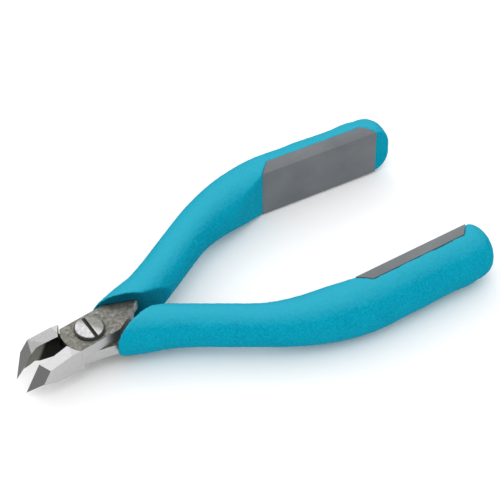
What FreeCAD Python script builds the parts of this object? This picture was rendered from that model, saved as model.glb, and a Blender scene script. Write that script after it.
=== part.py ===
import FreeCAD
import Part
import math
import os

# Flush cut pliers with an angled, bevelled tip, a lap joint and foam grips.
# Frame: origin on the pivot axis in the plane of the head's underside, +Z up through the
# screw head, +X back along the handles, +Y towards the handle of the upper half.
# Every piece is modelled with the jaws shut and then turned open by its Placement:
# the upper half by +opening_angle about Z, the lower half by -opening_angle.

V = FreeCAD.Vector

DIMENSIONS = {
    # head and lap joint
    "head_thickness": 6.2,
    "lap_gap": 0.04,
    "head_half_width": 4.4,
    "upper_boss_radius": 7.0,
    "lower_boss_radius": 6.0,
    "socket_gap": 0.5,
    "opening_angle": 7.5,
    # jaw, seen from the side: the cutting edge runs from the top down to the tip
    "edge_top_x": -14.47,
    "edge_top_z": 4.02,
    "tip_x": -18.54,
    "tip_z": -2.78,
    "jaw_front_half_width": 4.0,
    "shoulder_z": 4.81,
    "cheek_z": 1.37,
    "chin_start_x": -12.2,
    "top_slope_start_x": -7.25,
    "top_step": 0.2,
    "relief_depth": 0.95,
    "bevel_angle": 42.0,
    "cheek_half_width": 3.8,
    "wall_run": 9.0,
    "fold_x": -10.9,
    "fold_y": 0.9,
    "keel_x": -14.25,
    "keel_y": 1.9,
    "keel_z": 0.55,
    "beak_root_x": -13.2,
    "beak_root_z": 0.6,
    "jaw_root_x": -2.0,
    # tang centre line: straight shank, bend, straight rear run
    "shank_x": 12.2,
    "shank_y": 0.715,
    "shank_angle": 23.95,
    "shank_length": 26.8,
    "bend_radius": 52.75,
    "bend_turn": 34.15,
    "tang_rear_length": 26.0,
    "crotch_x": 6.92,
    "crotch_y": -3.75,
    "crotch_angle": 26.0,
    "crotch_gap": 0.6,
    "shoulder_start_x": 11.45,
    "shoulder_angle": 48.0,
    "tang_inner": 0.8,
    "tang_outer": 3.1,
    "tang_relief": 0.2,
    "full_tang_start": 4.5,
    # grip
    "grip_front_radius": 6.15,
    "grip_front_offset": 1.45,
    "grip_front_start": -5.0,
    "grip_front_taper": 17.0,
    "grip_neck_radius": 5.15,
    "neck_end": 3.0,
    "grip_rear_radius": 7.25,
    "grip_tail_radius": 7.05,
    "grip_rear_offset": -0.6,
    "grip_rear_length": 31.5,
    "grip_tail_length": 6.0,
    "grip_end_rounding": 4.7,
    "grip_clearance": 0.3,
    "pad_flat": 2.85,
    "pad_back": 0.3,
    "pad_lead": 4.8,
    "pad_length": 32.4,
    "pad_proud": 0.08,
    "pad_slant": 2.8,
    "ramp_angle": 28.0,
    "ramp_length": 18.0,
    # pivot
    "screw_head_radius": 3.4,
    "screw_head_height": 0.65,
    "slot_width": 0.92,
    "slot_depth": 0.5,
    "head_rounding": 0.2,
    "shoulder_radius": 2.1,
    "thread_radius": 1.5,
    "thread_end": 0.2,
    "running_clearance": 0.04,
    "washer_radius": 3.75,
    "washer_thickness": 0.25,
    "nut_flats": 5.5,
    "nut_thickness": 1.1,
    "nut_pocket_radius": 3.5,
    "nut_pocket_depth": 1.3,
    # torsion spring in the ring-shaped cavity between the halves
    "spring_radius": 3.0,
    "spring_wire_radius": 0.3,
    "spring_pitch": 0.66,
    "leg_angle": 20.0,
    "leg_pocket_spread": 18.0,
    "spring_leg_reach": 5.2,
    "cavity_inner_radius": 2.35,
    "cavity_outer_radius": 3.65,
    "cavity_depth": 0.8,
}

UPPER = 1
LOWER = -1
REACH = 60.0   # half size of the blocks that cut away everything beyond a plane
MARGIN = 1.0   # how far a cutter runs past the face that it opens

doc = FreeCAD.newDocument("FlushCutPliers")


def make_sheet():
    """Driving dimensions, one per row, with a word as each cell's alias."""
    sheet = doc.addObject("Spreadsheet::Sheet", "Dims")
    for row, (alias, value) in enumerate(DIMENSIONS.items(), start=1):
        sheet.set("A%d" % row, alias)
        sheet.set("B%d" % row, repr(value))
        sheet.setAlias("B%d" % row, alias)
    doc.recompute()
    return sheet


SHEET = make_sheet()


def dim(alias):
    """The value of a driving dimension, read back from the sheet."""
    return float(getattr(SHEET, alias))


def bind(obj, **expressions):
    """Tie properties of a document object to expressions on the sheet."""
    for prop, expression in expressions.items():
        obj.setExpression(prop, expression)


def mid_height():
    return dim("head_thickness") / 2.0


# ---------------------------------------------------------------- generic pieces

def cut(name, base, *tools):
    """Base minus the tools, one after another."""
    result = base
    for number, tool in enumerate(tools):
        step = doc.addObject("Part::Cut", "%s_cut%d" % (name, number))
        step.Base = result
        step.Tool = tool
        result = step
    return result


def fuse(name, *shapes):
    result = doc.addObject("Part::MultiFuse", name + "_fuse")
    result.Shapes = list(shapes)
    return result


def common(name, *shapes):
    result = doc.addObject("Part::MultiCommon", name + "_common")
    result.Shapes = list(shapes)
    return result


def cylinder(name, radius, height, base):
    """An upright cylinder whose radius and height are sheet expressions."""
    obj = doc.addObject("Part::Cylinder", name)
    bind(obj, Radius=radius, Height=height)
    obj.Placement.Base = base
    return obj


def half_space(name, point, normal):
    """A large block on the far side of the plane through point that faces normal."""
    block = doc.addObject("Part::Box", name)
    block.Length = 2 * REACH
    block.Width = 2 * REACH
    block.Height = REACH
    turn = FreeCAD.Rotation(V(0, 0, 1), normal)
    block.Placement = FreeCAD.Placement(point - turn.multVec(V(REACH, REACH, 0)), turn)
    return block


def sketch_body(name, plane_role, segments):
    """A body with one closed sketch on one of its own origin planes."""
    body = doc.addObject("PartDesign::Body", name)
    sketch = body.newObject("Sketcher::SketchObject", name + "_sketch")
    plane = [f for f in body.Origin.OriginFeatures if f.Role == plane_role][0]
    sketch.AttachmentSupport = [(plane, "")]
    sketch.MapMode = "FlatFace"
    for segment in segments:
        if len(segment) == 2:
            sketch.addGeometry(Part.LineSegment(*segment), False)
        else:
            sketch.addGeometry(Part.Arc(*segment), False)
    return body, sketch


def pad(body, sketch, length, both_sides=False, backwards=False):
    """A pad whose length is a sheet expression."""
    feature = body.newObject("PartDesign::Pad", body.Name + "_pad")
    feature.Profile = sketch
    bind(feature, Length=length)
    feature.Midplane = both_sides
    feature.Reversed = backwards
    return feature


# ---------------------------------------------------------------- handle centre line

def direction(angle):
    return V(math.cos(math.radians(angle)), math.sin(math.radians(angle)), 0)


def left_of(angle):
    return V(-math.sin(math.radians(angle)), math.cos(math.radians(angle)), 0)


def centre_line(distance, offset=0.0, side=UPPER):
    """Point and heading on the handle's centre line at a distance from the shank point.

    offset moves the point outwards, away from the other handle.
    """
    shank = dim("shank_angle")
    straight = dim("shank_length")
    radius = dim("bend_radius")
    turn = dim("bend_turn")
    arc_length = radius * math.radians(turn)
    start = V(dim("shank_x"), dim("shank_y"), 0)
    if distance <= straight:
        heading = shank
        point = start + direction(shank) * distance
    else:
        bend_start = start + direction(shank) * straight
        bend_centre = bend_start - left_of(shank) * radius
        turned = math.degrees(min(distance - straight, arc_length) / radius)
        heading = shank - turned
        point = bend_centre + left_of(heading) * radius
        if distance > straight + arc_length:
            point = point + direction(heading) * (distance - straight - arc_length)
    point = point + left_of(heading) * offset
    return V(point.x, side * point.y, 0), side * heading


def bend_end():
    """Distance along the centre line where the rear run begins."""
    return dim("shank_length") + dim("bend_radius") * math.radians(dim("bend_turn"))


def tang_side(offset, side, start):
    """Line, arc and line along one side of the tang, from start to the tang's end."""
    bend_from = dim("shank_length")
    bend_to = bend_end()
    tail = bend_to + dim("tang_rear_length")
    corner = [centre_line(d, offset, side)[0]
              for d in (start, bend_from, (bend_from + bend_to) / 2, bend_to, tail)]
    return [(corner[0], corner[1]), (corner[1], corner[2], corner[3]), (corner[3], corner[4])]


# ---------------------------------------------------------------- steel halves

def boss_radius(side):
    return dim("upper_boss_radius" if side == UPPER else "lower_boss_radius")


def crotch_height(x):
    """y of the plate's inner edge, ahead of its shoulder, on the upper half."""
    slope = math.tan(math.radians(dim("crotch_angle")))
    return dim("crotch_y") + slope * (x - dim("crotch_x"))


def shoulder_points():
    """Both ends of the shoulder where the plate narrows to the tang, on the upper half."""
    start = V(dim("shoulder_start_x"), crotch_height(dim("shoulder_start_x")), 0)
    across = left_of(dim("shank_angle"))
    on_axis = V(dim("shank_x"), dim("shank_y"), 0)
    depth = -dim("tang_inner") - (start - on_axis).dot(across)
    angle = dim("shoulder_angle")
    reach = depth / math.sin(math.radians(angle - dim("shank_angle")))
    return start, start + direction(angle) * reach


def plate_outline(side):
    """Joint plate and tang of one half, seen from above with the jaws shut.

    The tang leaves towards +side and the jaw, added later, lies on the other side.
    """
    half = dim("head_half_width")
    radius = boss_radius(side)
    arc_x = -math.sqrt(radius ** 2 - half ** 2)
    slope = math.radians(dim("shank_angle"))
    outer_at = (half - dim("shank_y") - dim("tang_outer") * math.cos(slope)) / math.sin(slope)
    outer = tang_side(dim("tang_outer"), side, outer_at)
    far = V(arc_x, side * half, 0)
    near = V(arc_x, -side * half, 0)
    crotch_x = dim("crotch_x") - (half + dim("crotch_y")) / math.tan(math.radians(dim("crotch_angle")))
    corner = V(crotch_x, -side * half, 0)
    first, second = [V(p.x, side * p.y, 0) for p in shoulder_points()]
    ahead = second - V(dim("shank_x"), side * dim("shank_y"), 0)
    inner = tang_side(-dim("tang_inner"), side, ahead.dot(direction(side * dim("shank_angle"))))
    return ([(far, V(-radius, 0, 0), near), (near, corner), (corner, first), (first, second)] + inner
            + [(inner[-1][1], outer[-1][1])] + outer + [(outer[0][0], far)])


def tang_outline(side):
    """The stretch of the tang that has the full thickness."""
    start = dim("full_tang_start")
    inner = tang_side(-dim("tang_inner"), side, start)
    outer = tang_side(dim("tang_outer"), side, start)
    return inner + [(inner[-1][1], outer[-1][1])] + outer + [(outer[0][0], inner[0][0])]


def edge_x(height):
    """x of the cutting edge, and of the flush face, at a height."""
    share = (height - dim("edge_top_z")) / (dim("tip_z") - dim("edge_top_z"))
    return dim("edge_top_x") + share * (dim("tip_x") - dim("edge_top_x"))


def jaw_profile():
    """Side view of the jaw without its beak, with the top left square for the facets."""
    top = dim("head_thickness")
    cheek = V(edge_x(dim("cheek_z")), dim("cheek_z"), 0)
    root = dim("jaw_root_x")
    corner = [V(root, 0, 0), V(dim("chin_start_x"), 0, 0), cheek, V(edge_x(top), top, 0),
              V(root, top, 0)]
    return [(corner[i], corner[(i + 1) % 5]) for i in range(5)]


def keel_point(side):
    """Rear top of the beak's keel, under the chin."""
    return V(dim("keel_x"), side * dim("keel_y"), dim("keel_z"))


def beak_profile():
    """Side view of the beak: the flush face in front and the keel behind."""
    root = V(dim("beak_root_x"), dim("beak_root_z"), 0)
    tip = V(dim("tip_x"), dim("tip_z"), 0)
    cheek = V(edge_x(dim("cheek_z")), dim("cheek_z"), 0)
    return [(tip, cheek), (cheek, root), (root, tip)]


def jaw_blank(name, side):
    """Jaw body and beak before the facets are ground."""
    pieces = []
    for part_name, segments in (("block", jaw_profile()), ("beak", beak_profile())):
        body, sketch = sketch_body("%s_%s" % (name, part_name), "XZ_Plane", segments)
        pad(body, sketch, "Dims.head_half_width", backwards=(side == UPPER))
        pieces.append(body)
    block, beak = pieces
    tip = V(dim("tip_x"), 0, dim("tip_z"))
    cheek = V(edge_x(dim("cheek_z")), side * dim("cheek_half_width"), dim("cheek_z"))
    flank_normal = (cheek - tip).cross(keel_point(side) - tip) * side
    flank = half_space(name + "_flank", tip, flank_normal)
    return fuse(name + "_blank", block, cut(name + "_beak", beak, flank))


def facet_cutters(name, side):
    """The ground planes on top of the jaw, outside it and behind the cutting edge."""
    top = V(dim("edge_top_x"), 0, dim("edge_top_z"))
    shoulder = V(edge_x(dim("shoulder_z")), side * dim("jaw_front_half_width"), dim("shoulder_z"))
    # broad top facet: from the joint down to the shoulder, falling towards the middle
    joint = V(dim("top_slope_start_x"), side * dim("head_half_width"),
              dim("head_thickness") + dim("top_step"))
    inner = V(dim("top_slope_start_x"), 0, dim("head_thickness") - dim("top_step"))
    broad = (joint - shoulder).cross(inner - shoulder) * side
    # nose facet: steeper, from the shoulder to the upper end of the cutting edge
    fold = V(dim("fold_x"), side * dim("fold_y"), 0)
    drop = (fold.x - shoulder.x) * broad.x + (fold.y - shoulder.y) * broad.y
    fold.z = shoulder.z - drop / broad.z
    nose = (fold - shoulder).cross(top - shoulder) * side
    narrowing = dim("head_half_width") - dim("jaw_front_half_width")
    wall = V(-narrowing, side * dim("wall_run"), 0)
    return [
        half_space(name + "_broad", shoulder, broad if broad.z > 0 else broad * -1),
        half_space(name + "_nose", shoulder, nose if nose.z > 0 else nose * -1),
        half_space(name + "_wall", shoulder, wall),
        bevel_cutter(name, side),
    ]


def bevel_cutter(name, side):
    """Clears the inside of the jaw: the bevel rises from the cutting edge to the relief wall."""
    top = V(dim("edge_top_x"), 0, dim("edge_top_z"))
    along = V(dim("tip_x"), 0, dim("tip_z")) - top
    behind = V(-along.z, 0, along.x).normalize()
    rise = math.tan(math.radians(dim("bevel_angle")))
    bevel = half_space(name + "_bevel", top, V(behind.x * rise, -side, behind.z * rise))
    relief = half_space(name + "_relief", V(0, side * dim("relief_depth"), 0), V(0, -side, 0))
    return common(name + "_inside", bevel, relief)


def half(name, side):
    """One steel half: joint plate in its own layer, tang, and the jaw of full height."""
    jaw_side = -side
    layer_base = mid_height() + dim("lap_gap") / 2 if side == UPPER else 0.0
    plate, sketch = sketch_body(name + "_plate", "XY_Plane", plate_outline(side))
    pad(plate, sketch, "(Dims.head_thickness - Dims.lap_gap) / 2")
    plate.Placement.Base = V(0, 0, layer_base)
    tang, sketch = sketch_body(name + "_tang", "XY_Plane", tang_outline(side))
    pad(tang, sketch, "Dims.head_thickness")
    facets = facet_cutters(name, jaw_side)
    jaw = cut(name + "_jaw", jaw_blank(name, jaw_side), *facets)
    # the jaw keeps clear of the other half's round boss in the other layer
    other = "lower" if side == UPPER else "upper"
    other_base = -MARGIN if side == UPPER else mid_height() - dim("lap_gap") / 2
    socket = cylinder(name + "_socket", "Dims.%s_boss_radius + Dims.socket_gap" % other,
                      "Dims.head_thickness / 2 + Dims.lap_gap / 2 + %s" % MARGIN,
                      V(0, 0, other_base))
    own = cylinder(name + "_hub", "Dims.lower_boss_radius - Dims.socket_gap", "Dims.head_thickness",
                   V(0, 0, 0))
    jaw = cut(name + "_jawclear", jaw, socket, own)
    steel = fuse(name + "_steel", plate, tang, jaw)
    return cut(name + "_bored", steel, tang_relief(name, side), *joint_cutters(name, side))


def crotch_plane(name, side, forwards=0.0):
    """Everything on this half's side of the line that its grip is cut along.

    The line follows the other half's inner edge as it stands with the jaws shut.
    """
    angle = dim("crotch_angle")
    gap = dim("crotch_gap") - forwards
    edge = V(dim("crotch_x"), -side * dim("crotch_y"), 0)
    outward = V(math.sin(math.radians(angle)), side * math.cos(math.radians(angle)), 0)
    return half_space(name, edge + outward * gap, outward)


def tang_relief(name, side):
    """The tang stands a little back from the face of the joint, from just ahead of the grip."""
    slab = doc.addObject("Part::Box", name + "_relief_slab")
    bind(slab, Length="%s" % (2 * REACH), Width="%s" % (2 * REACH),
         Height="Dims.tang_relief + %s" % MARGIN)
    base = -MARGIN if side == LOWER else dim("head_thickness") - dim("tang_relief")
    slab.Placement.Base = V(-REACH / 2, -REACH, base)
    behind = crotch_plane(name + "_behind", side, dim("tang_relief"))
    return common(name + "_tang_relief", behind, slab)


def joint_cutters(name, side):
    """Pivot bore, nut pocket and the half of the spring cavity in this layer."""
    gap = dim("lap_gap") / 2
    if side == UPPER:
        bore = cylinder(name + "_bore", "Dims.shoulder_radius + Dims.running_clearance",
                        "Dims.head_thickness", V(0, 0, MARGIN))
        cavity_base = mid_height() - gap
    else:
        bore = cylinder(name + "_bore", "Dims.thread_radius", "Dims.head_thickness",
                        V(0, 0, -MARGIN))
        cavity_base = mid_height() - gap - dim("cavity_depth")
    outer = cylinder(name + "_cavity_outer", "Dims.cavity_outer_radius",
                     "Dims.cavity_depth + 2 * Dims.lap_gap", V(0, 0, cavity_base))
    inner = cylinder(name + "_cavity_inner", "Dims.cavity_inner_radius",
                     "Dims.cavity_depth + 2 * Dims.lap_gap", V(0, 0, cavity_base))
    cutters = [bore, cut(name + "_cavity", outer, inner), leg_pocket(name, side, cavity_base)]
    if side == LOWER:
        cutters.append(cylinder(name + "_nut_pocket", "Dims.nut_pocket_radius",
                                "Dims.nut_pocket_depth + %s" % MARGIN, V(0, 0, -MARGIN)))
    return cutters


def leg_pocket(name, side, base):
    """Room for this half's leg of the spring, behind the ring-shaped cavity."""
    depth = "Dims.cavity_depth + 2 * Dims.lap_gap"
    pocket = doc.addObject("Part::Cylinder", name + "_leg_pocket")
    bind(pocket, Radius="Dims.spring_leg_reach + 0.3", Height=depth, Angle="Dims.leg_pocket_spread")
    leg = side * (dim("leg_angle") - dim("opening_angle"))
    first = FreeCAD.Rotation(V(0, 0, 1), leg - dim("leg_pocket_spread") / 2)
    pocket.Placement = FreeCAD.Placement(V(0, 0, base), first)
    core = cylinder(name + "_leg_core", "Dims.cavity_inner_radius + 0.3", depth, V(0, 0, base))
    return cut(name + "_leg", pocket, core)


# ---------------------------------------------------------------- grips

def grip_stations():
    """Distance, radius and outward offset of the grip's round sections.

    The mouth flares outwards over the tang, the neck is even, the bend swells, and the rear
    run tapers a little to the rounded tail.
    """
    neck = dim("grip_neck_radius")
    rear = dim("grip_rear_radius")
    bend_from = dim("shank_length")
    arc = bend_end() - bend_from
    stations = []
    for step in range(6):
        share = step / 5.0
        fade = (1 + math.cos(math.pi * share)) / 2
        stations.append((dim("grip_front_start") + share * dim("grip_front_taper"),
                         neck + (dim("grip_front_radius") - neck) * fade,
                         dim("grip_front_offset") * fade))
    stations.append((bend_from - dim("neck_end"), neck, 0.0))
    for step in range(1, 11):
        share = step / 10.0
        swell = math.sin(math.pi / 2 * share) ** 1.5
        stations.append((bend_from + share * arc, neck + (rear - neck) * swell,
                         dim("grip_rear_offset") * share))
    run = dim("grip_rear_length") - dim("grip_tail_length")
    for step in range(1, 5):
        share = step / 4.0
        stations.append((bend_end() + run * share, rear + (dim("grip_tail_radius") - rear) * share,
                         dim("grip_rear_offset")))
    return stations


def section_circle(name, side, distance, radius, offset):
    """A circle square to the centre line."""
    point, heading = centre_line(distance, offset, side)
    ring = doc.addObject("Part::Circle", name)
    ring.Radius = radius
    turn = FreeCAD.Rotation(V(0, 0, 1), direction(heading))
    ring.Placement = FreeCAD.Placement(V(point.x, point.y, mid_height()), turn)
    return ring


def grip_form(name, side):
    """The whole outer form of a grip: a swelling tube and a rounded end."""
    rings = [section_circle("%s_ring%d" % (name, i), side, *station)
             for i, station in enumerate(grip_stations())]
    tube = doc.addObject("Part::Loft", name + "_tube")
    tube.Sections = rings
    tube.Solid = True
    tube.Ruled = False
    tail = doc.addObject("Part::Cylinder", name + "_tail")
    bind(tail, Radius="Dims.grip_tail_radius", Height="Dims.grip_tail_length")
    tail.Placement = rear_axis(side, dim("grip_rear_length") - dim("grip_tail_length"))
    doc.recompute()
    rounded = doc.addObject("Part::Fillet", name + "_end")
    rounded.Base = tail
    far = direction(rear_heading(side))
    ends = [(edge.CenterOfMass.dot(far), i + 1) for i, edge in enumerate(tail.Shape.Edges)
            if edge.Curve.TypeId == "Part::GeomCircle"]
    rounded.Edges = [(max(ends)[1], dim("grip_end_rounding"), dim("grip_end_rounding"))]
    return fuse(name + "_form", tube, rounded)


def rear_heading(side):
    return side * (dim("shank_angle") - dim("bend_turn"))


def rear_axis(side, distance):
    """Placement whose Z runs back along the grip's rear axis, from a distance past the bend."""
    point, heading = centre_line(bend_end() + distance, dim("grip_rear_offset"), side)
    turn = FreeCAD.Rotation(V(0, 0, 1), direction(heading))
    return FreeCAD.Placement(V(point.x, point.y, mid_height()), turn)


def rear_block(name, side, start, length, low, high):
    """A block along the rear run between two outward offsets from the grip's axis."""
    block = doc.addObject("Part::Box", name)
    block.Length = length
    block.Width = high - low
    block.Height = REACH
    end, heading = centre_line(bend_end() + MARGIN, dim("grip_rear_offset"), side)
    base = end + direction(heading) * (start - MARGIN)
    outward = side * left_of(heading)
    corner = base + outward * (low if side == UPPER else high)
    block.Placement = FreeCAD.Placement(V(corner.x, corner.y, mid_height() - REACH / 2),
                                        FreeCAD.Rotation(V(0, 0, 1), heading))
    return block


def pad_corner(side):
    """The front edge of the firm pad's flat, at mid height."""
    heading = rear_heading(side)
    end = centre_line(bend_end() + MARGIN, dim("grip_rear_offset"), side)[0]
    return (end - direction(heading) * (dim("pad_lead") + MARGIN)
            - side * left_of(heading) * dim("pad_flat"))


def pad_room(name, side, inner):
    """The recess for the firm pad, with slanted ends that leave it shorter at the pad's back."""
    block = rear_block(name + "_block", side, -dim("pad_lead"), dim("pad_length"),
                       inner, dim("pad_back"))
    back = direction(rear_heading(side))
    outward = side * left_of(rear_heading(side)) * dim("pad_slant")
    depth = dim("pad_flat") + dim("pad_back")
    corner = pad_corner(side)
    ahead = half_space(name + "_ahead", corner, outward - back * depth)
    behind = half_space(name + "_behind", corner + back * dim("pad_length"),
                        outward + back * depth)
    return cut(name, block, ahead, behind)


def grip_pad(name, side, tang):
    """Firm pad let into the inner side of the grip, flat towards the other handle."""
    bar = doc.addObject("Part::Cone", name + "_bar")
    bind(bar, Radius1="Dims.grip_rear_radius + Dims.pad_proud",
         Radius2="Dims.grip_tail_radius + Dims.pad_proud",
         Height="Dims.pad_length + %s" % (2 * MARGIN))
    bar.Placement = rear_axis(side, 0.0)
    axis = direction(rear_heading(side))
    bar.Placement.Base = bar.Placement.Base - axis * (dim("pad_lead") + MARGIN)
    room = pad_room(name + "_room", side, -dim("pad_flat"))
    return cut(name, common(name, bar, room), tang)


def foam_grip(name, side, steel):
    """Soft sleeve over the tang, cut obliquely where it meets the head."""
    gap = dim("grip_clearance")
    ahead = doc.addObject("Part::Box", name + "_ahead_block")
    bind(ahead, Length="%s" % (2 * REACH), Width="%s" % (2 * REACH), Height="%s" % REACH)
    ahead.Placement.Base = V(-REACH, -REACH, -REACH / 2)
    crotch = cut(name + "_crotch", ahead, crotch_plane(name + "_behind", side))
    middle = half_space(name + "_middle", V(0, side * gap, 0), V(0, -side, 0))
    recess = pad_room(name + "_recess", side, -dim("pad_flat") - MARGIN)
    return cut(name, grip_form(name, side), crotch, middle, inner_flat(name, side), recess, steel)


def inner_flat(name, side):
    """The flat inner side, level with the firm pad, and the ramp that leads to it in the bend."""
    start = -dim("pad_lead") - dim("ramp_length")
    flat = rear_block(name + "_flat", side, start, REACH + dim("ramp_length"),
                      -dim("pad_flat") - REACH / 2, -dim("pad_flat"))
    heading = rear_heading(side)
    outward = side * left_of(heading)
    angle = math.radians(dim("ramp_angle"))
    ramp = half_space(name + "_ramp", pad_corner(side),
                      direction(heading) * math.sin(angle) - outward * math.cos(angle))
    return common(name + "_inner_flat", flat, ramp)


# ---------------------------------------------------------------- pivot

def pivot_screw():
    """Slotted shoulder screw: its shoulder carries the upper half, its thread holds the lower."""
    gap = dim("lap_gap") / 2
    head_base = dim("head_thickness") + dim("washer_thickness")
    head = cylinder("screw_head", "Dims.screw_head_radius", "Dims.screw_head_height", V(0, 0, head_base))
    shoulder = cylinder("screw_shoulder", "Dims.shoulder_radius",
                        "Dims.head_thickness / 2 + Dims.lap_gap / 2 + Dims.washer_thickness",
                        V(0, 0, mid_height() - gap))
    thread = cylinder("screw_thread", "Dims.thread_radius - 0.01",
                      "Dims.head_thickness / 2 - Dims.lap_gap / 2 - Dims.thread_end",
                      V(0, 0, dim("thread_end")))
    slot = doc.addObject("Part::Box", "screw_slot")
    bind(slot, Length="Dims.slot_width", Width="Dims.screw_head_radius * 3",
         Height="Dims.slot_depth + %s" % MARGIN)
    slot.Placement.Base = V(-dim("slot_width") / 2, -dim("screw_head_radius") * 1.5,
                            head_base + dim("screw_head_height") - dim("slot_depth"))
    doc.recompute()
    rounded = doc.addObject("Part::Fillet", "screw_head_rounded")
    rounded.Base = head
    tops = [(edge.CenterOfMass.z, i + 1) for i, edge in enumerate(head.Shape.Edges)
            if edge.Curve.TypeId == "Part::GeomCircle"]
    rounded.Edges = [(max(tops)[1], dim("head_rounding"), dim("head_rounding"))]
    return cut("screw", fuse("screw", rounded, shoulder, thread), slot)


def thrust_washer():
    """Thin washer between the screw head and the upper half."""
    top = dim("head_thickness")
    disc = cylinder("washer_disc", "Dims.washer_radius", "Dims.washer_thickness", V(0, 0, top))
    hole = cylinder("washer_hole", "Dims.shoulder_radius + Dims.running_clearance",
                    "Dims.washer_thickness + %s" % (2 * MARGIN), V(0, 0, top - MARGIN))
    return cut("washer", disc, hole)


def lock_nut():
    """Hexagon nut recessed in the underside."""
    blank = doc.addObject("Part::Prism", "nut_blank")
    blank.Polygon = 6
    bind(blank, Circumradius="Dims.nut_flats / 2 / cos(30)", Height="Dims.nut_thickness")
    blank.Placement.Base = V(0, 0, dim("nut_pocket_depth") - dim("nut_thickness"))
    hole = cylinder("nut_hole", "Dims.thread_radius", "Dims.nut_thickness + %s" % (2 * MARGIN),
                    V(0, 0, -MARGIN))
    return cut("nut", blank, hole)


def spring_leg(number, turned, rise):
    """One straight end of the wire, pointing outwards, with a round elbow."""
    out = direction(turned)
    start = out * dim("spring_radius") + V(0, 0, rise)
    leg = doc.addObject("Part::Cylinder", "spring_leg%d" % number)
    bind(leg, Radius="Dims.spring_wire_radius", Height="Dims.spring_leg_reach - Dims.spring_radius")
    leg.Placement = FreeCAD.Placement(start, FreeCAD.Rotation(V(0, 0, 1), out))
    elbow = doc.addObject("Part::Sphere", "spring_elbow%d" % number)
    bind(elbow, Radius="Dims.spring_wire_radius")
    elbow.Placement.Base = start
    return [leg, elbow]


def torsion_spring():
    """Wire spring around the shoulder, with one straight leg for each half."""
    turned = 360.0 + 2 * dim("leg_angle")
    rise = dim("spring_pitch") * turned / 360.0
    helix = doc.addObject("Part::Helix", "spring_helix")
    bind(helix, Pitch="Dims.spring_pitch", Radius="Dims.spring_radius",
         Height="Dims.spring_pitch * (360 + 2 * Dims.leg_angle) / 360")
    wire = doc.addObject("Part::Circle", "spring_section")
    bind(wire, Radius="Dims.spring_wire_radius")
    wire.Placement = FreeCAD.Placement(V(dim("spring_radius"), 0, 0), FreeCAD.Rotation(V(1, 0, 0), 90))
    coil = doc.addObject("Part::Sweep", "spring_coil")
    coil.Sections = [wire]
    coil.Spine = (helix, ["Edge1"])
    coil.Solid = True
    coil.Frenet = True
    spring = fuse("spring", coil, *(spring_leg(1, 0.0, 0.0) + spring_leg(2, turned, rise)))
    spring.Placement = FreeCAD.Placement(V(0, 0, mid_height() - rise / 2),
                                         FreeCAD.Rotation(V(0, 0, 1), -dim("leg_angle")))
    return spring


# ---------------------------------------------------------------- assembly

def build():
    """Every named piece with the body turn that opens the jaws."""
    pieces = {}
    for side, words in ((UPPER, "upper"), (LOWER, "lower")):
        steel = half(words, side)
        pieces[words + "_half"] = (steel, side)
        pieces[words + "_grip_pad"] = (grip_pad(words + "_pad", side, steel), side)
        pieces[words + "_foam_grip"] = (foam_grip(words + "_foam", side, steel), side)
    pieces["pivot_screw"] = (pivot_screw(), 0)
    pieces["thrust_washer"] = (thrust_washer(), 0)
    pieces["lock_nut"] = (lock_nut(), 0)
    pieces["torsion_spring"] = (torsion_spring(), 0)
    doc.recompute()
    return pieces


def finish(pieces):
    """A compound link per piece carries the label and the placement of the open pose."""
    named = {}
    for label, (source, side) in pieces.items():
        obj = doc.addObject("Part::Compound", "part_" + label)
        obj.Links = [source]
        obj.Label = label
        if side:
            obj.setExpression("Placement.Rotation.Angle", "%d * Dims.opening_angle" % side)
        named[label] = obj
    doc.recompute()
    return named


def check(named):
    """Stops before anything is written if an object failed or a shape isn't sound."""
    for obj in doc.Objects:
        if "Invalid" in obj.State or "Error" in obj.State:
            raise RuntimeError("failed: %s %s" % (obj.Name, obj.State))
    for label, obj in named.items():
        shape = obj.Shape
        if shape.isNull() or not shape.isValid():
            raise RuntimeError("bad shape: %s" % label)
        box = shape.BoundBox
        print("%-18s solids %d volume %9.2f  x %.2f..%.2f y %.2f..%.2f z %.2f..%.2f" % (
            label, len(shape.Solids), shape.Volume, box.XMin, box.XMax, box.YMin, box.YMax,
            box.ZMin, box.ZMax))


def export(named):
    os.makedirs("parts", exist_ok=True)
    for label, obj in named.items():
        obj.Shape.exportStep("parts/%s.step" % label)


PARTS = finish(build())
check(PARTS)
export(PARTS)
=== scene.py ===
import math

import bpy
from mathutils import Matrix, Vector, noise


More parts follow.
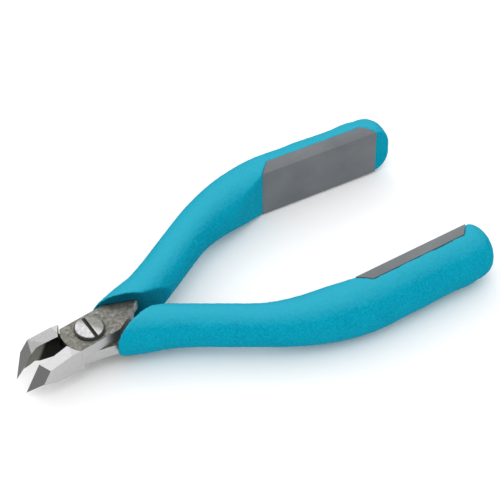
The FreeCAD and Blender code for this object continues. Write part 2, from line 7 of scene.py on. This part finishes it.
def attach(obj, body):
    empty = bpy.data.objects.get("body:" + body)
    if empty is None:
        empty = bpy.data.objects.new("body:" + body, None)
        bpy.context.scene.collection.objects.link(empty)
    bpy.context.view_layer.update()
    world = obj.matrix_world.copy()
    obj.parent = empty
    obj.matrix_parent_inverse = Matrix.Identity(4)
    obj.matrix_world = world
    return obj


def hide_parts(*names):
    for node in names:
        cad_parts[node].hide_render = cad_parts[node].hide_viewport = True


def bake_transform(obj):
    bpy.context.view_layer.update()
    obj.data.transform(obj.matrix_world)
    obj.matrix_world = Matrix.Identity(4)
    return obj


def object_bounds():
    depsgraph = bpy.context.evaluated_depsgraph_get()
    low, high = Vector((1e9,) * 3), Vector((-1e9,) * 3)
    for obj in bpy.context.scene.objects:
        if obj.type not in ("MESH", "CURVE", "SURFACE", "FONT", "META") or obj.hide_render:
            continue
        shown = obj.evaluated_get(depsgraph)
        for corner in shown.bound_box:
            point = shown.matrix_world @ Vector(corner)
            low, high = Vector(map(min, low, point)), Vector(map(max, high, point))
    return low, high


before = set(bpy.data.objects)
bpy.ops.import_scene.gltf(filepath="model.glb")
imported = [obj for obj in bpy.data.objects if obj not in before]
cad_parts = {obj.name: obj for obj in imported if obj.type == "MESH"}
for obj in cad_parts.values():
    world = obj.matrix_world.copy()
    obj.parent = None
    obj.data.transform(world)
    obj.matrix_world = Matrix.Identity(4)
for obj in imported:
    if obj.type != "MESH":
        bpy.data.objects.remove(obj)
CAD_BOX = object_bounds()

MM = 0.001

# studio: brightness of the surroundings, and the point that the lamps shine at
HORIZON = 0.72
OVERHEAD = 1.12
LAMP_TARGET = (0.045, 0.0, 0.0)

# steel halves: places in the part's frame, and arcs about the pivot axis
MID_Z = 3.1 * MM  # the joint's lap plane
LAP_BELOW = 3.3 * MM  # the lap face lies below this height
JOINT_ARC = 7.2 * MM  # the plate ends at this arc
SOCKET_ARC = 8.3 * MM  # the arc just past the wall of the jaw's socket
PLATE_BEHIND = -2.0 * MM  # all top faces behind this belong to the plate
SOCKET_AHEAD = -4.0 * MM  # the socket's wall lies ahead of this
JAW_AHEAD = -6.0 * MM  # and the inner side of the jaw ahead of this
INSIDE_SHADE_START = -12.9 * MM  # the painted shade inside the jaw begins here at the underside
INSIDE_SHADE_SLANT = 0.39  # and this much further back per height
GRINDING = (500.0, 9000.0, 9000.0)  # grinding lines per metre along and across the tool

# pivot screw
SLOT_BELOW = 6.9 * MM
SLOT_WITHIN = 0.5 * MM
TURNING = 30000.0  # radians of turning marks per metre of radius

# foam grips
BEND_FROM = 22.0  # the creases of the bend are rounded between these, in millimetres
BEND_TO = 58.5
FADE_IN = 8.0
FADE_OUT = 4.0
UNEVENNESS = ((1.1, 0.05), (0.28, 0.04))  # waves per millimetre, and height in millimetres
MOUTH_FORWARD = -0.317  # direction that the cut mouths face
MOUTH_INWARD = -0.948
MOUTH_SHADE_REACH = 30.0 * MM  # the painted shade on the mouth fades out before this distance behind the pivot

EDGE_ROUNDING = {"upper_half": 0.12 * MM, "lower_half": 0.12 * MM,
                 "upper_grip_pad": 0.3 * MM, "lower_grip_pad": 0.3 * MM}


# ------------------------------------------------------------------ node helpers

class Shader:
    """A node material, built one call at a time."""

    def __init__(self, name):
        self.material = bpy.data.materials.new(name)
        self.material.use_nodes = True
        self.tree = self.material.node_tree
        self.tree.nodes.clear()
        self.bsdf = self.tree.nodes.new("ShaderNodeBsdfPrincipled")
        out = self.tree.nodes.new("ShaderNodeOutputMaterial")
        self.link(self.bsdf.outputs[0], out.inputs[0])
        self.place = self.tree.nodes.new("ShaderNodeTexCoord").outputs["Object"]

    def link(self, a, b):
        self.tree.links.new(a, b)

    def noise(self, scale, detail=3.0, rough=0.55, place=None):
        """Noise of about that many cells per metre."""
        n = self.tree.nodes.new("ShaderNodeTexNoise")
        n.inputs["Scale"].default_value = scale
        n.inputs["Detail"].default_value = detail
        n.inputs["Roughness"].default_value = rough
        self.link(place or self.place, n.inputs["Vector"])
        return n.outputs["Fac"]

    def cells(self, scale):
        """Distance from the middle of cells, about that many per metre."""
        n = self.tree.nodes.new("ShaderNodeTexVoronoi")
        n.inputs["Scale"].default_value = scale
        self.link(self.place, n.inputs["Vector"])
        return n.outputs["Distance"]

    def ramp(self, value, *stops):
        """Colour or grey by value, through (value, colour) stops."""
        n = self.tree.nodes.new("ShaderNodeValToRGB")
        while len(n.color_ramp.elements) < len(stops):
            n.color_ramp.elements.new(0.5)
        for element, (at, colour) in zip(n.color_ramp.elements, stops):
            element.position = at
            grey = (colour,) * 3 if isinstance(colour, (int, float)) else colour
            element.color = (*grey, 1.0)
        self.link(value, n.inputs[0])
        return n.outputs[0]

    def math(self, kind, a, b=None):
        n = self.tree.nodes.new("ShaderNodeMath")
        n.operation = kind
        for i, v in enumerate((a, b)):
            if v is None:
                continue
            if isinstance(v, (int, float)):
                n.inputs[i].default_value = v
            else:
                self.link(v, n.inputs[i])
        return n.outputs[0]

    def mix(self, share, a, b):
        """Colour a where share is 0, b where it is 1."""
        n = self.tree.nodes.new("ShaderNodeMix")
        n.data_type = "RGBA"
        for socket, v in ((n.inputs[0], share), (n.inputs[6], a), (n.inputs[7], b)):
            if isinstance(v, (int, float)):
                socket.default_value = v
            elif isinstance(v, tuple):
                socket.default_value = (*v, 1.0)
            else:
                self.link(v, socket)
        return n.outputs[2]

    def bump(self, height, distance, strength=1.0, normal=None):
        n = self.tree.nodes.new("ShaderNodeBump")
        n.inputs["Strength"].default_value = strength
        n.inputs["Distance"].default_value = distance
        self.link(height, n.inputs["Height"])
        if normal is not None:
            self.link(normal, n.inputs["Normal"])
        return n.outputs[0]

    def step(self, value, edge, rising=True):
        """1 past the edge and 0 before it, or the other way round."""
        return self.math("GREATER_THAN" if rising else "LESS_THAN", value, edge)

    def reach(self, x, y):
        """Distance from the pivot axis."""
        squares = self.math("ADD", self.math("MULTIPLY", x, x), self.math("MULTIPLY", y, y))
        return self.math("SQRT", squares)

    def facing(self, which):
        """One component of the surface normal, in the part's own frame."""
        source = self.tree.nodes.new("ShaderNodeTexCoord").outputs["Normal"]
        n = self.tree.nodes.new("ShaderNodeSeparateXYZ")
        self.link(source, n.inputs[0])
        return n.outputs[which]

    def axis(self, which):
        """One coordinate in the part's own frame."""
        n = self.tree.nodes.new("ShaderNodeSeparateXYZ")
        self.link(self.place, n.inputs[0])
        return n.outputs[which]

    def set(self, socket, value):
        if isinstance(value, (int, float)):
            self.bsdf.inputs[socket].default_value = value
        elif isinstance(value, tuple):
            self.bsdf.inputs[socket].default_value = (*value, 1.0)
        else:
            self.link(value, self.bsdf.inputs[socket])


def srgb(r, g, b):
    """Linear colour from 8-bit display values."""
    def one(v):
        v /= 255.0
        return v / 12.92 if v <= 0.04045 else ((v + 0.055) / 1.055) ** 2.4
    return one(r), one(g), one(b)


# ------------------------------------------------------------------ materials

def foam_material():
    """Fine closed-cell foam: teal with paler cell rims and small dark pores."""
    s = Shader("foam_teal")
    grain = s.noise(2400.0, 3.0, 0.65)
    pores = s.cells(1700.0)
    broad = s.noise(120.0, 3.0, 0.5)
    base = s.ramp(grain, (0.30, srgb(0, 124, 148)), (0.52, srgb(0, 143, 169)),
                  (0.74, srgb(8, 163, 189)))
    tone_and_highlight = s.mix(s.ramp(broad, (0.35, 0.0), (0.75, 0.35)), base, srgb(10, 157, 184))
    # painted highlight: a little paler where it lies up or down
    painted_flat_highlight = s.ramp(s.math("ABSOLUTE", s.facing(2)), (0.66, 0.0), (0.99, 0.65))
    tone_and_highlight = s.mix(painted_flat_highlight, tone_and_highlight, srgb(54, 164, 186))
    dark = s.ramp(pores, (0.04, 1.0), (0.20, 0.0))
    skin = s.mix(s.math("MULTIPLY", dark, 0.3), tone_and_highlight, srgb(0, 102, 125))
    # the oblique cut at the mouth, with open cells, darkened as painted shade where it faces down and
    # forward
    x, y = s.axis(0), s.axis(1)
    inward = s.math("MULTIPLY", s.facing(1), s.math("SIGN", y))
    facing = s.math("ADD", s.math("MULTIPLY", s.facing(0), MOUTH_FORWARD),
                    s.math("MULTIPLY", inward, MOUTH_INWARD))
    mouth_shade_fade = s.ramp(s.math("MULTIPLY", x, 1.0 / MOUTH_SHADE_REACH),
                    (0.40, 0.95), (0.68, 0.35), (0.9, 0.0))
    mouth_shade = s.math("MULTIPLY", s.ramp(facing, (0.70, 0.0), (0.92, 1.0)), mouth_shade_fade)
    s.set("Base Color", s.mix(mouth_shade, skin, srgb(6, 84, 102)))
    s.set("Roughness", s.ramp(grain, (0.3, 0.98), (0.7, 0.85)))
    s.set("Specular IOR Level", 0.06)
    fine = s.bump(grain, 0.00010, 0.6)
    s.set("Normal", s.bump(pores, 0.0001, 0.5, fine))
    return s.material


def pad_material():
    """Firm moulded elastomer: dark grey with a very fine moulded grain."""
    s = Shader("pad_grey")
    grain = s.noise(5200.0, 2.0, 0.6)
    broad = s.noise(140.0, 3.0, 0.5)
    base = s.ramp(broad, (0.3, srgb(99, 103, 107)), (0.7, srgb(112, 116, 119)))
    s.set("Base Color", s.mix(s.ramp(grain, (0.35, 0.25), (0.65, 0.0)), base, srgb(84, 87, 90)))
    s.set("Roughness", s.ramp(grain, (0.3, 0.68), (0.7, 0.55)))
    s.set("Specular IOR Level", 0.35)
    s.set("Normal", s.bump(grain, 0.00004, 0.6))
    return s.material


def steel_material():
    """Matt, mottled joint plate, ground walls and facets, dull flush faces, and painted shade inside
    the jaws and in the gap of the joint.
    """
    s = Shader("steel")
    x, y, z = s.axis(0), s.axis(1), s.axis(2)
    forward, sideways, up = s.facing(0), s.facing(1), s.facing(2)
    reach = s.reach(x, y)
    mottle = s.noise(1100.0, 4.0, 0.7)
    broad = s.noise(330.0, 3.0, 0.55)
    tint = s.noise(520.0, 2.0, 0.5)
    stretch = s.tree.nodes.new("ShaderNodeMapping")
    stretch.inputs["Scale"].default_value = GRINDING
    s.link(s.place, stretch.inputs[0])
    lines = s.noise(1.0, 3.0, 0.6, stretch.outputs[0])
    shadowed = srgb(30, 30, 28)
    # the plate: olive grey with paler and reddish patches
    matt = s.ramp(mottle, (0.30, srgb(88, 88, 83)), (0.50, srgb(118, 118, 112)),
                  (0.72, srgb(156, 154, 148)))
    matt = s.mix(s.ramp(broad, (0.42, 0.0), (0.68, 0.45)), matt, srgb(108, 109, 100))
    matt = s.mix(s.ramp(tint, (0.56, 0.0), (0.74, 0.4)), matt, srgb(150, 134, 130))
    # the ground walls, the ground facets on top of the jaw, and the flush faces; walls and facets are
    # one ground finish, the walls painted lighter against the shade they reflect and the facets
    # darker
    wall = s.ramp(lines, (0.3, srgb(180, 178, 178)), (0.7, srgb(198, 196, 196)))
    facet = s.ramp(lines, (0.3, srgb(150, 150, 151)), (0.7, srgb(172, 172, 173)))
    flush = s.ramp(lines, (0.3, srgb(102, 102, 102)), (0.7, srgb(118, 118, 118)))
    # inside the jaws: painted shade near the joint, olive grey towards the tip
    inside_shade_edge = s.math("ADD", s.math("MULTIPLY", z, INSIDE_SHADE_SLANT), INSIDE_SHADE_START)
    behind_edge = s.math("MULTIPLY", s.math("SUBTRACT", x, inside_shade_edge), 1.0 / MM)
    shaded_inside = s.mix(s.ramp(behind_edge, (0.0, 0.0), (0.9, 1.0)), srgb(128, 129, 120), shadowed)
    inward = s.step(s.math("MULTIPLY", s.math("SIGN", y), sideways), -0.5, rising=False)
    inner = s.math("MULTIPLY", inward, s.step(x, JAW_AHEAD, rising=False))
    top = s.ramp(up, (0.60, 0.0), (0.72, 1.0))
    ground = s.mix(s.step(forward, -0.6, rising=False), s.mix(top, wall, facet), flush)
    ground = s.mix(inner, ground, shaded_inside)
    # painted shade on the two round walls that face each other across the gap between boss and jaw
    boss = s.math("MULTIPLY", s.step(forward, -0.5, rising=False),
                  s.step(reach, JOINT_ARC, rising=False))
    socket = s.math("MULTIPLY", s.step(forward, 0.25), s.step(reach, SOCKET_ARC, rising=False))
    socket = s.math("MULTIPLY", socket, s.step(x, SOCKET_AHEAD, rising=False))
    ground = s.mix(s.math("MAXIMUM", boss, socket), ground, shadowed)
    flat = s.ramp(s.math("ABSOLUTE", up), (0.90, 0.0), (0.93, 1.0))
    # painted shade on the lap face in the depth of that gap
    gap_floor_shade = s.math("MULTIPLY", s.step(up, 0.9), s.step(z, LAP_BELOW, rising=False))
    gap_floor_shade = s.math("MULTIPLY", gap_floor_shade, s.step(reach, SOCKET_ARC, rising=False))
    gap_floor_shade = s.math("MULTIPLY", gap_floor_shade, s.step(x, 0.0, rising=False))
    # the plate ends at the arc around the round boss of the joint
    behind = s.math("MAXIMUM", s.step(x, PLATE_BEHIND), s.step(reach, JOINT_ARC, rising=False))
    plate = s.math("MULTIPLY", s.math("MAXIMUM", top, flat), behind)
    s.set("Base Color", s.mix(gap_floor_shade, s.mix(plate, ground, matt), shadowed))
    s.set("Metallic", 1.0)
    satin = s.ramp(mottle, (0.3, 0.58), (0.7, 0.44))
    fine = s.mix(top, s.ramp(lines, (0.3, 0.36), (0.7, 0.44)),
                 s.ramp(lines, (0.3, 0.26), (0.7, 0.33)))
    s.set("Roughness", s.mix(plate, fine, satin))
    grain = s.bump(s.math("MULTIPLY", mottle, plate), 0.00008, 0.7)
    s.set("Normal", s.bump(lines, 0.000008, 0.35, grain))
    return s.material


def screw_material():
    """Turned steel with faint rings about the pivot axis, a painted reflection bright on one side and
    dull on the other, and painted shade in the slot.
    """
    s = Shader("turned_steel")
    x, y = s.axis(0), s.axis(1)
    rings = s.math("SINE", s.math("MULTIPLY", s.reach(x, y), TURNING))
    wear = s.noise(1400.0, 4.0, 0.6)
    bright = s.ramp(wear, (0.3, srgb(158, 158, 158)), (0.7, srgb(190, 190, 190)))
    dull = s.ramp(wear, (0.3, srgb(108, 108, 104)), (0.7, srgb(132, 132, 128)))
    # painted reflection: brighter towards -x and -y, duller towards +x and +y
    across = s.math("MULTIPLY", s.math("ADD", s.math("MULTIPLY", x, 1.6), y), 180.0)
    painted_reflection = s.ramp(s.math("ADD", across, wear), (0.35, 0.0), (0.85, 1.0))
    # painted shade in the slot
    slot_shade = s.math("MULTIPLY", s.step(s.axis(2), SLOT_BELOW, rising=False),
                  s.step(s.math("ABSOLUTE", x), SLOT_WITHIN, rising=False))
    s.set("Base Color", s.mix(slot_shade, s.mix(painted_reflection, bright, dull), srgb(70, 70, 66)))
    s.set("Metallic", 1.0)
    s.set("Roughness", s.mix(slot_shade, s.ramp(wear, (0.3, 0.40), (0.7, 0.26)), (0.7, 0.7, 0.7)))
    s.set("Normal", s.bump(rings, 0.000004, 0.5))
    return s.material


def black_steel_material():
    """Oil-blackened steel; on the thrust washer its dark tone also stands in as painted shade under
    the screw head.
    """
    s = Shader("black_steel")
    grain = s.noise(2200.0, 3.0, 0.6)
    s.set("Base Color", s.ramp(grain, (0.3, srgb(56, 55, 54)), (0.7, srgb(84, 82, 80))))
    s.set("Metallic", 1.0)
    s.set("Roughness", s.ramp(grain, (0.3, 0.5), (0.7, 0.36)))
    s.set("Normal", s.bump(grain, 0.00002, 0.5))
    return s.material


def spring_material():
    """Drawn spring wire."""
    s = Shader("spring_wire")
    grain = s.noise(3000.0, 2.0, 0.5)
    s.set("Base Color", s.ramp(grain, (0.3, srgb(150, 150, 152)), (0.7, srgb(190, 190, 192))))
    s.set("Metallic", 1.0)
    s.set("Roughness", 0.3)
    return s.material


def floor_material():
    """Plain pale floor."""
    s = Shader("floor_white")
    s.set("Base Color", (0.93, 0.93, 0.93))
    s.set("Roughness", 0.7)
    return s.material


# ------------------------------------------------------------------ pieces

def dress(node, material):
    """Puts a material on a CAD node, and softens its sharp edges if it is in EDGE_ROUNDING."""
    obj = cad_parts[node]
    obj.data.materials.clear()
    obj.data.materials.append(material)
    for polygon in obj.data.polygons:
        polygon.material_index = 0
    if node in EDGE_ROUNDING:
        rounding = obj.modifiers.new("edges", "BEVEL")
        rounding.width = EDGE_ROUNDING[node]
        rounding.segments = 2
        rounding.limit_method = "ANGLE"
        rounding.angle_limit = math.radians(28)
        rounding.harden_normals = True


def apply_modifiers(obj):
    """Makes the mesh that the modifiers give the object's own."""
    graph = bpy.context.evaluated_depsgraph_get()
    mesh = bpy.data.meshes.new_from_object(obj.evaluated_get(graph))
    obj.modifiers.clear()
    obj.data = mesh


def soften_bend(obj):
    """Rounds the creases of the bend, ahead of the firm pad and behind the mouth."""
    group = obj.vertex_groups.new(name="bend")
    for vertex in obj.data.vertices:
        along = vertex.co.x / MM
        weight = min(1.0, (along - BEND_FROM) / FADE_IN, (BEND_TO - along) / FADE_OUT)
        if weight > 0.0:
            group.add([vertex.index], weight, "REPLACE")
    smooth = obj.modifiers.new("soften", "SMOOTH")
    smooth.vertex_group = group.name
    smooth.factor = 0.5
    smooth.iterations = 60
    apply_modifiers(obj)
    obj.vertex_groups.clear()


def foam_grip(node, body, material):
    """A soft sleeve in the place of the CAD solid, with rounded rims and a cellular surface."""
    name = node.replace("_foam_grip", "_sleeve")
    obj = bpy.data.objects.new(name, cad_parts[node].data.copy())
    bpy.context.scene.collection.objects.link(obj)
    remesh = obj.modifiers.new("remesh", "REMESH")
    remesh.mode = "VOXEL"
    remesh.voxel_size = 0.3 * MM
    smooth = obj.modifiers.new("smooth", "SMOOTH")
    smooth.factor = 0.5
    smooth.iterations = 6
    apply_modifiers(obj)
    soften_bend(obj)
    normals = [vertex.normal.copy() for vertex in obj.data.vertices]
    for vertex, normal in zip(obj.data.vertices, normals):
        at = vertex.co / MM
        rise = sum(noise.noise(at * waves) * height for waves, height in UNEVENNESS)
        vertex.co = vertex.co + normal * (rise * MM)
    obj.data.materials.clear()
    obj.data.materials.append(material)
    for polygon in obj.data.polygons:
        polygon.use_smooth = True
        polygon.material_index = 0
    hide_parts(node)
    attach(obj, body)


def return_spring(material):
    """The wire spring in the place of the CAD solid, attached to neither half; in the tool one leg
    stays in the lower half and the other turns with the upper half.
    """
    obj = bpy.data.objects.new("return_spring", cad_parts["torsion_spring"].data.copy())
    bpy.context.scene.collection.objects.link(obj)
    obj.data.materials.clear()
    obj.data.materials.append(material)
    for polygon in obj.data.polygons:
        polygon.material_index = 0
    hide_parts("torsion_spring")
    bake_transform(obj)


# ------------------------------------------------------------------ stage

def area_light(name, at, size, power):
    """A square lamp at a place, turned towards LAMP_TARGET."""
    data = bpy.data.lights.new(name, "AREA")
    data.size = size
    data.energy = power
    lamp = bpy.data.objects.new(name, data)
    lamp.location = at
    towards = Vector(LAMP_TARGET) - Vector(at)
    lamp.rotation_euler = towards.to_track_quat("-Z", "Y").to_euler()
    bpy.context.scene.collection.objects.link(lamp)


def world_light():
    """Studio surroundings: dim at the horizon and bright overhead."""
    world = bpy.data.worlds.new("studio")
    world.use_nodes = True
    tree = world.node_tree
    place = tree.nodes.new("ShaderNodeTexCoord")
    split = tree.nodes.new("ShaderNodeSeparateXYZ")
    ramp = tree.nodes.new("ShaderNodeValToRGB")
    tree.links.new(place.outputs["Generated"], split.inputs[0])
    tree.links.new(split.outputs[2], ramp.inputs[0])
    tree.links.new(ramp.outputs[0], tree.nodes["Background"].inputs[0])
    ramp.color_ramp.elements[0].position = 0.05
    ramp.color_ramp.elements[0].color = (*(HORIZON,) * 3, 1.0)
    ramp.color_ramp.elements[1].position = 0.5
    ramp.color_ramp.elements[1].color = (*(OVERHEAD,) * 3, 1.0)
    bpy.context.scene.world = world


def stage():
    """A floor under the lowest point of the part, soft light from above, and plain colours."""
    lowest = CAD_BOX[0].z
    bpy.ops.mesh.primitive_plane_add(size=6.0, location=(0.04, 0, lowest))
    ground = bpy.context.object
    ground.name = "floor"
    ground.data.materials.append(floor_material())
    world_light()
    bpy.context.scene.view_settings.view_transform = "Standard"
    area_light("key", at=(0.06, 0.80, 0.55), size=0.7, power=2.0)
    area_light("fill", at=(-0.25, -0.35, 0.9), size=0.6, power=1.8)


def camera():
    """Looks down on the tool from the front left of the tip, from 0.6 m."""
    azimuth, elevation, distance = math.radians(-31.417), math.radians(44.471), 0.6
    target = Vector((0.047049, 0.0057015, MID_Z))
    back = Vector((math.sin(azimuth) * math.cos(elevation),
                   -math.cos(azimuth) * math.cos(elevation), math.sin(elevation)))
    data = bpy.data.cameras.new("camera")
    data.sensor_width = 36.0
    data.lens = 179.27
    data.clip_start = 0.05
    obj = bpy.data.objects.new("camera", data)
    obj.location = target + back * distance
    obj.rotation_euler = (-back).to_track_quat("-Z", "Y").to_euler()
    bpy.context.scene.collection.objects.link(obj)
    bpy.context.scene.camera = obj


def main():
    steel = steel_material()
    turned = screw_material()
    foam = foam_material()
    pad = pad_material()
    for node in ("upper_half", "lower_half"):
        dress(node, steel)
    black = black_steel_material()
    dress("pivot_screw", turned)
    # blackened steel; the thrust washer's dark tone is also painted shade under the screw head
    for node in ("thrust_washer", "lock_nut"):
        dress(node, black)
    return_spring(spring_material())
    for side in ("upper", "lower"):
        dress(side + "_grip_pad", pad)
        foam_grip(side + "_foam_grip", side, foam)
    stage()
    camera()


main()
